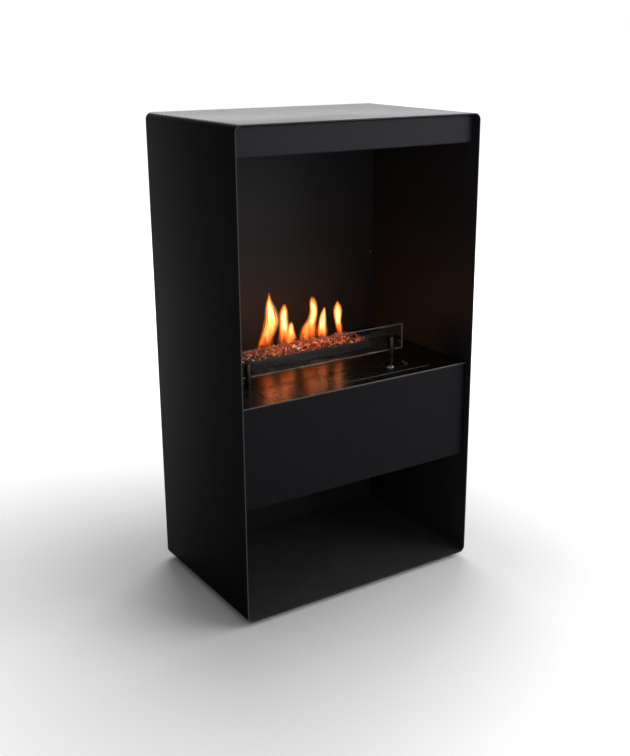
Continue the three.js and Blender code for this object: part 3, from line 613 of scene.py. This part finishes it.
# Layers of stones from the bottom: their height over the trough's rim and the share of places filled.
STONE_LAYERS = ((-4.5 * MM, 1.0), (0.5 * MM, 1.0), (3.6 * MM, 0.72))
STONE_PITCH, STONE_JITTER = 6.4 * MM, 0.45  # the second as a share of the first
STONE_SHAPES, STONE_CORNERS = 40, 11
SMALLEST_STONE, LARGEST_STONE = 3.0, 5.2  # mm, half across
TINT_MIDDLE, TINT_SPREAD = 0.5, 0.27
STONE_HEAP = 3.0 * MM  # how much higher the bed is in its middle
THIN_EDGE = 0.25  # the top layer stops where less than this share of the heap is left
TROUGH_WALL = 2.6 * MM  # the wall and a little room
TAB_LENGTH, TAB_HALF_WIDTH = 23 * MM, 17 * MM  # kept free for the shutter's tab
DECK_HALF_COVER = 20 * MM  # chips within this of the deck's middle line lie on it


def make_trough():
    """The stone trough, with eased rims and corners."""
    low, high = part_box("burner_trough")
    x, y, _ = middle(low, high)
    half_x, half_y, _ = half_size(low, high)
    wall, corner, inner_corner, ease = 2 * MM, 3 * MM, 0.8 * MM, 0.5 * MM
    section = [(0, low.z)] + arc((ease, high.z - ease), ease, 180, 90, 3)
    section += arc((wall - ease, high.z - ease), ease, 90, 0, 3) + [(wall, low.z)]
    rings = []
    for inward, height in section:
        radius = max(corner - inward, inner_corner)
        loop = rounded_loop(half_x - inward, half_y - inward, radius, 6)
        rings.append([(x + px, y + py, height) for px, py in loop])
    vertices, faces = lofted(rings, loop_closed=True)
    trough = mesh_piece("stone_trough", vertices, faces, trough_coat, "burner_unit")
    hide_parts("burner_trough")


def chip(rng, size):
    """The corners and faces of one angular stone chip."""
    build = bmesh.new()
    for _ in range(STONE_CORNERS):
        direction = Vector((rng.gauss(0, 1), rng.gauss(0, 1), rng.gauss(0, 1))).normalized()
        reach = size * rng.uniform(0.72, 1.08)
        build.verts.new((direction.x * reach, direction.y * reach * 0.85, direction.z * reach * 0.68))
    hull = bmesh.ops.convex_hull(build, input=build.verts)
    spare = hull["geom_interior"] + hull["geom_unused"]
    inner = {vertex for vertex in spare if isinstance(vertex, bmesh.types.BMVert)}
    bmesh.ops.delete(build, geom=list(inner), context="VERTS")
    build.verts.index_update()
    corners = [v.co.copy() for v in build.verts]
    faces = [tuple(v.index for v in face.verts) for face in build.faces]
    build.free()
    return corners, faces


def make_stones():
    """Loose chips in layers. They cover the slotted deck and keep clear of the shutter's tab."""
    rng = random.Random(11)
    low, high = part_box("burner_trough")
    deck_low, deck_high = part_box("flame_deck")
    _, tab_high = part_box("flame_shutter")
    x, y, _ = middle(low, high)
    half_x, half_y, _ = half_size(low, high)
    inside_x, inside_y = half_x - TROUGH_WALL, half_y - TROUGH_WALL
    shapes = [chip(rng, 1.0) for _ in range(STONE_SHAPES)]
    vertices, faces, tints = [], [], []

    def off_the_walls(points, side_x, side_y):
        """Moves a chip in from the walls, unless it is above them."""
        in_trough = [p for p in points if p.z < high.z + 0.5 * MM]
        if not any(abs(p.x - x) > inside_x or abs(p.y - y) > inside_y for p in in_trough):
            return points
        over_x = max(0, max(abs(p.x - x) for p in points) - inside_x) * side_x
        over_y = max(0, max(abs(p.y - y) for p in points) - inside_y) * side_y
        return [p - Vector((over_x, over_y, 0)) for p in points]

    def off_the_deck(points, side_y):
        """Lifts a chip onto the deck, or moves it out to the deck's side."""
        lowest = min(p.z for p in points)
        if all(abs(p.y - y) < DECK_HALF_COVER for p in points):
            lift = max(0, deck_high.z + 0.1 * MM - lowest)
            return [p + Vector((0, 0, lift)) for p in points]
        edge = (deck_high.y - deck_low.y) / 2 + 0.2 * MM
        near = min(abs(p.y - y) for p in points)
        if near < edge and lowest < deck_high.z:
            return [p + Vector((0, (edge - near) * side_y, 0)) for p in points]
        return points

    def add(cx, cy, cz, size):
        corners, chip_faces = rng.choice(shapes)
        turn = Matrix.Rotation(rng.uniform(0, 6.28), 3, "Z")
        turn = turn @ Matrix.Rotation(rng.uniform(0, 6.28), 3, "X")
        by_the_tab = deck_high.x - 1 * MM < cx < tab_high.x + TAB_LENGTH
        if by_the_tab and abs(cy - y) < TAB_HALF_WIDTH:
            return
        side_x, side_y = 1 if cx > x else -1, 1 if cy > y else -1
        placed = [turn @ corner * size + Vector((cx, cy, cz)) for corner in corners]
        placed = off_the_walls(placed, side_x, side_y)
        if abs(cx - x) < deck_high.x - x + size:
            placed = off_the_deck(placed, side_y)
        start = len(vertices)
        vertices.extend(tuple(p) for p in placed)
        faces.extend(tuple(start + i for i in face) for face in chip_faces)
        tint = min(max(rng.gauss(TINT_MIDDLE, TINT_SPREAD), 0), 1)
        tints.extend([tint] * len(placed))

    columns, rows = int(2 * inside_x / STONE_PITCH), int(2 * inside_y / STONE_PITCH)
    for layer, (base, share) in enumerate(STONE_LAYERS):
        for i in range(columns):
            for j in range(rows):
                if rng.random() > share:
                    continue
                column = i + 0.5 + rng.uniform(-STONE_JITTER, STONE_JITTER)
                row = j + 0.5 + rng.uniform(-STONE_JITTER, STONE_JITTER)
                cx = x - inside_x + column * 2 * inside_x / columns
                cy = y - inside_y + row * 2 * inside_y / rows
                inward = 1 - max(abs(cx - x) / inside_x, abs(cy - y) / inside_y) ** 4
                heap = STONE_HEAP * inward if layer else 0
                if layer == 2 and inward < THIN_EDGE:
                    continue
                size = rng.uniform(SMALLEST_STONE, LARGEST_STONE) * MM
                add(cx, cy, high.z + base + heap, size)
    stones = mesh_piece(
        "stone_chips", vertices, faces, stone, "burner_unit", smooth_below=1)
    set_point_values(stones, "tint", tints)
    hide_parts("stone_bed")


def make_post(side):
    """A post of the screen: a turned pin on a thinner stem, with the slot for the pane."""
    low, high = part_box(f"glass_post_{side}")
    x, y, _ = middle(low, high)
    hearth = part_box("burner_plate")[1].z
    radius, stem = (high.x - low.x) / 2, 3 * MM
    bottom, top = low.z - hearth, high.z - hearth
    profile = [(0, bottom), (stem, bottom), (stem, GAP), (radius, GAP), (radius, top), (0, top)]
    vertices, faces = turned(eased(profile, 0.9 * MM), (x, y, hearth))
    post = mesh_piece(f"screen_post_{side}", vertices, faces, enamel, "burner_unit")
    pane_low, pane_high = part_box("glass_pane")
    slot_y = (pane_high.y - pane_low.y) / 2 + 0.4 * MM
    pad_low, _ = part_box(f"glass_pad_{side}")
    slot_low = (x - 2 * radius, y - slot_y, pad_low.z - GAP)
    slot_high = (x + 2 * radius, y + slot_y, high.z + 1 * MM)
    subtract(post, cutter_box(slot_low, slot_high))
    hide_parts(f"glass_post_{side}")


def make_pane():
    """The pane, with its long edges and corners polished round."""
    low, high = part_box("glass_pane")
    x, y, z = middle(low, high)
    half_x, half_y, half_z = half_size(low, high)
    ease, corner, inner_corner = 1.1 * MM, 2.5 * MM, 0.6 * MM
    section = arc((ease, half_y - ease), ease, 90, 180, 5)
    section += arc((ease, -half_y + ease), ease, 180, 270, 5)
    rings = []
    for inward, depth in section:
        radius = max(corner - inward, inner_corner)
        loop = rounded_loop(half_x - inward, half_z - inward, radius, 5)
        rings.append([(x + px, y + depth, z + pz) for px, pz in loop])
    vertices, faces = lofted(rings, capped=True)
    pane = mesh_piece(
        "screen_pane", vertices, faces, glass, "glass_screen", smooth_below=60)
    pane.data.materials.append(glass_edge)
    for face in pane.data.polygons:
        face.material_index = 0 if abs(face.normal.y) > 0.99 else 1
    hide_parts("glass_pane")


def make_filler():
    """The neck and the coin-slotted cap, both turned, with a knurled grip round the cap."""
    low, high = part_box("filler_neck")
    x, y, _ = middle(low, high)
    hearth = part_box("burner_plate")[1].z
    flange = (high.x - low.x) / 2
    bore, outside = 7.5 * MM, 9.5 * MM
    bottom, top = low.z - hearth, high.z - hearth
    profile = [(bore, bottom), (outside, bottom), (outside, GAP), (flange, GAP), (flange, top)]
    profile += [(bore, top), (bore, bottom)]
    vertices, faces = turned(eased(profile, 0.35 * MM), (x, y, hearth), 64)
    neck = mesh_piece("filler_collar", vertices, faces, bright, "burner_unit")
    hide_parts("filler_neck")

    low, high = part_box("filler_cap")
    radius, bottom, top = (high.x - low.x) / 2, low.z, high.z
    segments, knurl_depth = 120, 0.28 * MM
    slot_reach, slot_half, slot_depth = 7 * MM, 1 * MM, 1.2 * MM
    # How far each ring lies in from the rim, in mm, and its height. The knurls are where that is 0.
    outline = [(3.0, bottom), (0.3, bottom), (0.0, bottom + 0.3 * MM), (0.0, top - 0.9 * MM)]
    outline += [(0.2, top - 0.5 * MM), (0.8, top - 0.1 * MM), (1.5, top), (9.0, top)]
    rings = []
    for inward, height in outline:
        ring = []
        for i in range(segments):
            angle = 2 * math.pi * i / segments
            knurl = knurl_depth if inward == 0 and i % 2 else 0
            r = radius - inward * MM - knurl
            ring.append((x + r * math.cos(angle), y + r * math.sin(angle), height))
        rings.append(ring)
    vertices, faces = lofted(rings, capped=True)
    cap = mesh_piece("filler_cap_turned", vertices, faces, black_chrome, "cap")
    slot_low = (x - slot_reach, y - slot_half, top - slot_depth)
    slot_high = (x + slot_reach, y + slot_half, top + 1 * MM)
    subtract(cap, cutter_box(slot_low, slot_high))
    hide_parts("filler_cap")


def make_gauge():
    """The gauge's bush and its domed lens."""
    low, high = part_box("gauge_bush")
    x, y, _ = middle(low, high)
    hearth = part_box("burner_plate")[1].z
    lens_low, lens_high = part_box("gauge_lens")
    lens = (lens_high.x - lens_low.x) / 2
    seat = lens_low.z - hearth - GAP
    flange = (high.x - low.x) / 2
    bore, sleeve, dome_rise = 4.5 * MM, 6 * MM, 0.7 * MM
    bottom, top = low.z - hearth, high.z - hearth
    profile = [(bore, bottom), (sleeve, bottom), (sleeve, GAP), (flange, GAP), (flange, top)]
    profile += [(lens + GAP, top), (lens + GAP, seat), (bore, seat), (bore, bottom)]
    vertices, faces = turned(eased(profile, 0.4 * MM), (x, y, hearth), 64)
    bush = mesh_piece("gauge_ring", vertices, faces, black_chrome, "burner_unit")
    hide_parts("gauge_bush")

    edge = lens_high.z - dome_rise
    dome = [(0, lens_low.z), (lens, lens_low.z), (lens, edge)]
    for degrees in range(15, 90, 15):
        angle = math.radians(degrees)
        dome.append((lens * math.cos(angle), edge + dome_rise * math.sin(angle)))
    dome.append((0, lens_high.z))
    vertices, faces = turned(dome, (x, y, 0))
    cover = mesh_piece("gauge_window", vertices, faces, glass, "burner_unit")
    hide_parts("gauge_lens")


def make_feet():
    """The pads of the levelling feet, recessed for their stems."""
    recess, recess_floor, taper = 7 * MM + GAP, 1.8 * MM, 2 * MM
    for corner in ("front_left", "front_right", "rear_left", "rear_right"):
        low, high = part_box(f"foot_pad_{corner}")
        x, y, _ = middle(low, high)
        radius = (high.x - low.x) / 2
        profile = [(0, 0), (radius, 0), (radius, high.z * 0.6), (radius - taper, high.z)]
        profile += [(recess, high.z), (recess, recess_floor), (0, recess_floor)]
        vertices, faces = turned(eased(profile, 0.5 * MM), (x, y, 0))
        pad = mesh_piece(f"foot_{corner}", vertices, faces, plastic, f"foot_{corner}")
        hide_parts(f"foot_pad_{corner}")


# ---------- Flames ----------

# Each flame from its base to its tip as (left, right, height) in mm, in the plane of the burner.
FLAMES = {
    "flame_1": [(-109, -66, 521), (-98, -62, 540), (-91, -53, 560), (-86, -47, 584), (-82, -57, 614),
                (-78, -65, 629), (-72, -70, 648)],
    "flame_2": [(-52, -16, 521), (-51, -18, 536), (-48, -20, 554), (-45, -22, 579), (-42, -23, 603),
                (-34, -29, 616)],
    "flame_3": [(-28, 3, 521), (-26, -1, 536), (-23.5, -5, 551), (-20, -8, 564), (-15.5, -13.5, 572)],
    "flame_4": [(6, 57, 522), (12, 56, 541), (19, 54, 556), (29, 56, 570), (37, 58.5, 591),
                (38, 56, 613), (43.5, 46.5, 625)],
    "flame_5": [(56, 88, 522), (58, 84, 547), (63, 83.5, 563), (69.5, 83, 580), (77, 80, 594)],
    "flame_6": [(113, 134, 521), (111, 130, 540), (109, 127, 553), (106, 129.5, 572), (106, 127, 588),
                (113, 116, 604)],
}
FLAME_STEPS, FLAME_SIDES = 6, 24  # steps between two rows, and points round a flame
FLAME_DEPTH = 0.55  # as a share of its width
FLAME_SWAY, THINNEST = 1.5, 0.15  # mm
LAYERS = (  # share of the width, share of the height, finish
    (1.0, 1.0, "outer"),
    (0.76, 0.93, "middle"),
    (0.48, 0.8, "core"),
)
LAYER_LIFT = 0.3  # a lower layer starts higher up, by this share of the height it lacks
# Strength, then colours and cover from the base to the tip.
FLAME_FINISH = {
    "outer": (
        1.3,
        [(0.0, (0.7, 0.06, 0.006)), (0.3, (1.0, 0.2, 0.02)), (0.7, (1.0, 0.3, 0.05)),
         (1.0, (1.0, 0.2, 0.02))],
        [(0.0, 0.02), (0.25, 0.2), (0.8, 0.34), (1.0, 0.2)],
    ),
    "middle": (
        2.7,
        [(0.0, (1.0, 0.13, 0.01)), (0.35, (1.0, 0.26, 0.04)), (0.8, (1.0, 0.34, 0.09)),
         (1.0, (1.0, 0.26, 0.04))],
        [(0.0, 0.03), (0.3, 0.42), (0.8, 0.75), (1.0, 0.45)],
    ),
    "core": (
        9.5,
        [(0.0, (1.0, 0.09, 0.013)), (0.3, (1.0, 0.15, 0.04)), (0.6, (1.0, 0.27, 0.13)),
         (1.0, (1.0, 0.27, 0.13))],
        [(0.0, 0.02), (0.3, 0.26), (0.55, 0.9), (1.0, 0.9)],
    ),
}


def catmull_rom(a, b, c, d, t):
    """A number between b and c, on a smooth curve through all four."""
    square = (2 * a - 5 * b + 4 * c - d) * t * t
    cube = (3 * b - a - 3 * c + d) * t ** 3
    return 0.5 * (2 * b + (c - a) * t + square + cube)


def smooth_track(rows, steps):
    """A smooth curve through the rows, with so many steps between each two."""
    track = []
    for i in range(len(rows) - 1):
        near = (rows[max(i - 1, 0)], rows[i], rows[i + 1], rows[min(i + 2, len(rows) - 1)])
        for s in range(steps):
            track.append([catmull_rom(*numbers, s / steps) for numbers in zip(*near)])
    track.append(list(rows[-1]))
    return track


def make_flames():
    """Each flame is three skins, one in another, that cover more and shine more inwards."""
    deck_low, deck_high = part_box("flame_deck")
    y = (deck_low.y + deck_high.y) / 2
    finishes = {layer: flame(f"flame_{layer}", *looks) for layer, looks in FLAME_FINISH.items()}
    turns = [2 * math.pi * k / FLAME_SIDES for k in range(FLAME_SIDES)]
    for name, rows in FLAMES.items():
        track = smooth_track(rows, FLAME_STEPS)
        base, tip = rows[0][2], rows[-1][2]
        for width, height, layer in LAYERS:
            rings = []
            for left, right, z in track:
                rise = (z - base) / (tip - base)
                sway = math.sin(rise * 5 + base + left * 0.05) * FLAME_SWAY
                lift = base + (z - base) * height + (1 - height) * LAYER_LIFT * (tip - base)
                half = max((right - left) / 2 * width, THINNEST)
                deep = max(half * FLAME_DEPTH, THINNEST)
                centre = (left + right) / 2
                rings.append([
                    ((centre + half * math.cos(a)) * MM, y + (deep * math.sin(a) + sway) * MM, lift * MM)
                    for a in turns
                ])
            vertices, faces = lofted(rings, capped=True)
            piece = mesh_piece(
                f"{name}_{layer}", vertices, faces, finishes[layer], "burner_unit", smooth_below=80)
            heights = [vertex.co.z for vertex in piece.data.vertices]
            low, high = min(heights), max(heights)
            set_point_values(piece, "rise", [(height - low) / (high - low) for height in heights])
            piece.visible_shadow = False


# ---------- Stage and light ----------

FLOOR_HALF = 14
FOOTPRINT = (0.3, 0.2, 0)  # half the cabinet's width and depth
# How white the floor is seen and mirrored, by distance from the cabinet as a share of FLOOR_REACH.
# It is nil by the cabinet, so the grey round it is partly painted shade, on top of the cast shadow.
# This glow lights nothing else.
FLOOR_REACH = 2.5
FLOOR_GLOW_AND_PAINTED_SHADE = ((0.0, 0.0), (0.04, 0.04), (0.12, 0.19), (0.25, 0.4), (0.5, 0.72), (1.0, 1.0))
# Soft light of the studio: the direction it is strongest from, and how strong it is.
WORLD_LOBES = (
    ((0, 0, 1), 0.28),
    ((1, 0, 0), 0.1),
    ((0, -1, 0), 0.1),
    ((0, 1, 0), 0.15),
)
# Soft boxes: place, what they point at, size in metres and power in watts.
SOFT_BOXES = {
    "key_right": ((3.2, -1.0, 2.6), (0, 0, 0.5), (3.0, 3.0), 72),
    "back_right": ((1.9, 2.9, 2.8), (0, 0, 0.5), (3.4, 3.0), 105),
    "front_right": ((2.0, -2.4, 1.5), (0, 0, 0.8), (1.6, 1.2), 36),
    "front_low": ((-0.3, -2.6, 1.2), (0, 0, 0.7), (2.0, 1.2), 8),
}
# The light of the flames, as a row of small lamps in them.
FIRE_POWER = 0.24
FIRE_COLOUR = (1.0, 0.38, 0.1)
FIRE_RADIUS = 0.02
FIRE_X = (-0.08, -0.02, 0.045, 0.12)
FIRE_Y, FIRE_Z = 0.062, 0.55


def make_floor():
    """A pale floor that whitens away from the cabinet and keeps its shadow. Its grey near the cabinet is
    partly painted shade.
    """
    floor_mesh = bpy.data.meshes.new("floor")
    corners = [(x * FLOOR_HALF, y * FLOOR_HALF, 0) for x, y in ((-1, -1), (1, -1), (1, 1), (-1, 1))]
    floor_mesh.from_pydata(corners, [], [(0, 1, 2, 3)])
    floor = add_object("floor", floor_mesh)
    paint = Paint("floor_paint_with_painted_shade", grey(0.8), 0.9, Specular_IOR_Level=0.0)
    away = paint.vector_math("ABSOLUTE", paint.place)
    away = paint.vector_math("SUBTRACT", away, FOOTPRINT)
    away = paint.vector_math("MAXIMUM", away)
    distance = paint.vector_math("LENGTH", away, result="Value")
    share = paint.math("DIVIDE", distance, FLOOR_REACH)
    # Dark by the cabinet, white far off: partly painted shade round the cabinet.
    glow_and_painted_shade = paint.ramp(share, [(position, grey(level)) for position, level in FLOOR_GLOW_AND_PAINTED_SHADE])
    paint.drive("Emission Color", glow_and_painted_shade)
    paint.drive("Emission Strength", paint.showing())
    floor_mesh.materials.append(paint.material)


def make_world():
    """White where it shows, and the soft light of the studio on everything else."""
    world = bpy.data.worlds.new("studio")
    bpy.context.scene.world = world
    world.use_nodes = True
    studio = Nodes(world.node_tree)
    background = studio.tree.nodes["Background"]
    background.inputs["Color"].default_value = (1, 1, 1, 1)
    direction = studio.node("ShaderNodeTexCoord").outputs["Generated"]
    light = 0.0
    for axis, strength in WORLD_LOBES:
        towards = studio.vector_math("DOT_PRODUCT", direction, axis, result="Value")
        lobe = studio.math("MULTIPLY", studio.math("MAXIMUM", towards, 0.0), strength)
        light = studio.math("ADD", lobe, light)
    showing = studio.showing()
    lighting = studio.math("SUBTRACT", 1.0, showing)
    total = studio.math("ADD", showing, studio.math("MULTIPLY", lighting, light))
    studio.link(total, background.inputs["Strength"])


def make_lights():
    for name, (place, target, size, power) in SOFT_BOXES.items():
        data = bpy.data.lights.new(name, "AREA")
        data.shape = "RECTANGLE"
        data.size, data.size_y = size
        data.energy = power
        light = add_object(name, data)
        aim = (Vector(target) - Vector(place)).to_track_quat("-Z", "Y").to_matrix().to_4x4()
        light.matrix_world = Matrix.Translation(place) @ aim
    for i, x in enumerate(FIRE_X):
        data = bpy.data.lights.new(f"fire_{i}", "POINT")
        data.energy = FIRE_POWER
        data.color = FIRE_COLOUR
        data.shadow_soft_size = FIRE_RADIUS
        light = add_object(f"fire_{i}", data)
        light.location = (x, FIRE_Y, FIRE_Z)
        light.visible_glossy = False
        light.visible_transmission = False
        light.visible_camera = False


# ---------- Making it all ----------

make_camera()
dress_nodes()
make_shell()
make_trough()
make_stones()
make_post("left")
make_post("right")
make_pane()
make_filler()
make_gauge()
make_feet()
make_flames()
make_floor()
make_world()
make_lights()
bpy.context.scene.view_settings.view_transform = "Standard"
